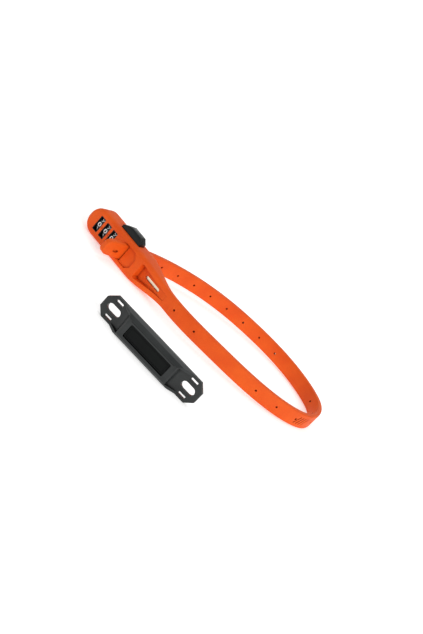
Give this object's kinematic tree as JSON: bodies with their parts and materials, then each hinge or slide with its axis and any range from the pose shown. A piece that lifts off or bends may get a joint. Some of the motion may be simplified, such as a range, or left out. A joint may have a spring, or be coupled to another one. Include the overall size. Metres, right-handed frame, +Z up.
{
  "type": "strap combination lock",
  "caption": "Flexible steel-cored strap lock: the strap's end passes through a combination head with dials and a side release button; slotted frame bracket beside it.",
  "frame": {"origin": "middle of the flat long side of the head casing, which the lock rests on", "axes": "+X along the head towards the strap, +Z up through the release button, dial face looks to -Y"},
  "size_m": [0.1945, 0.1971, 0.0254],
  "materials": {
    "orange_overmould": "soft satin orange overmould",
    "black_nylon": "black glass-filled nylon, fine moulded texture",
    "dial_black": "black wheels with white filled digits",
    "steel": "plain stainless and spring steel",
    "die_cast_zinc": "die-cast zinc, as cast",
    "brass": "turned brass",
    "rubber": "dark rubber pad"
  },
  "bodies": {
    "head": {"front_shell": "orange_overmould", "back_cover": "orange_overmould", "cover_screw_1": "steel", "cover_screw_2": "steel", "cover_screw_3": "steel", "cover_screw_4": "steel", "lock_chassis": "die_cast_zinc", "detent_spring": "steel", "core_rivet": "steel", "strap_sleeve_near": "orange_overmould", "strap_core_near": "steel", "strap_sleeve_far": "orange_overmould", "strap_core_far": "steel", "latch_spring": "steel", "button_spring": "steel"},
    "dial_1": {"dial_wheel_1": "dial_black", "dial_hub_1": "brass"},
    "dial_2": {"dial_wheel_2": "dial_black", "dial_hub_2": "brass"},
    "dial_3": {"dial_wheel_3": "dial_black", "dial_hub_3": "brass"},
    "latch": {"spindle": "steel", "latch_pawl": "steel"},
    "button": {"release_button": "black_nylon"},
    "tail": {"tail_sleeve": "orange_overmould", "tail_core": "steel"},
    "reset": {"reset_screw": "brass"},
    "bracket": {"bracket_body": "black_nylon", "bracket_pad": "rubber"}
  },
  "joints": [
    {"name": "dial_turn_1", "type": "hinge", "parent": "head", "child": "dial_1", "pos_m": [-0.014, -0.0006, 0.0102], "axis": [1, 0, 0], "continuous": true},
    {"name": "dial_turn_2", "type": "hinge", "parent": "head", "child": "dial_2", "pos_m": [-0.0071, -0.0006, 0.0102], "axis": [1, 0, 0], "continuous": true},
    {"name": "dial_turn_3", "type": "hinge", "parent": "head", "child": "dial_3", "pos_m": [-0.0002, -0.0006, 0.0102], "axis": [1, 0, 0], "continuous": true},
    {"name": "button_press", "type": "slide", "parent": "head", "child": "button", "axis": [0, 0, -1], "range_m": [0, 0.0022], "stiffness_N_per_m": 700, "springref_m": -0.002, "deforming": ["button_spring"]},
    {"name": "latch_release", "type": "slide", "parent": "head", "child": "latch", "axis": [-1, 0, 0], "range_m": [0, 0.0011], "deforming": ["latch_spring"]},
    {"name": "strap_pull", "type": "slide", "parent": "head", "child": "tail", "axis": [-0.1736, -0.9848, 0], "range_m": [-0.024, 0.008], "deforming": ["strap_sleeve_far", "strap_core_far"]},
    {"name": "reset_turn", "type": "hinge", "parent": "head", "child": "reset", "pos_m": [0.0062, 0.0069, 0.0102], "axis": [0, 1, 0], "range_deg": [0, 90]},
    {"name": "bracket_lift", "type": "slide", "parent": "head", "child": "bracket", "axis": [0, 0, 1], "range_m": [0, 0.06]}
  ],
  "couplings": [
    {"joint": "latch_release", "follows": "button_press", "ratio": 0.48}
  ]
}
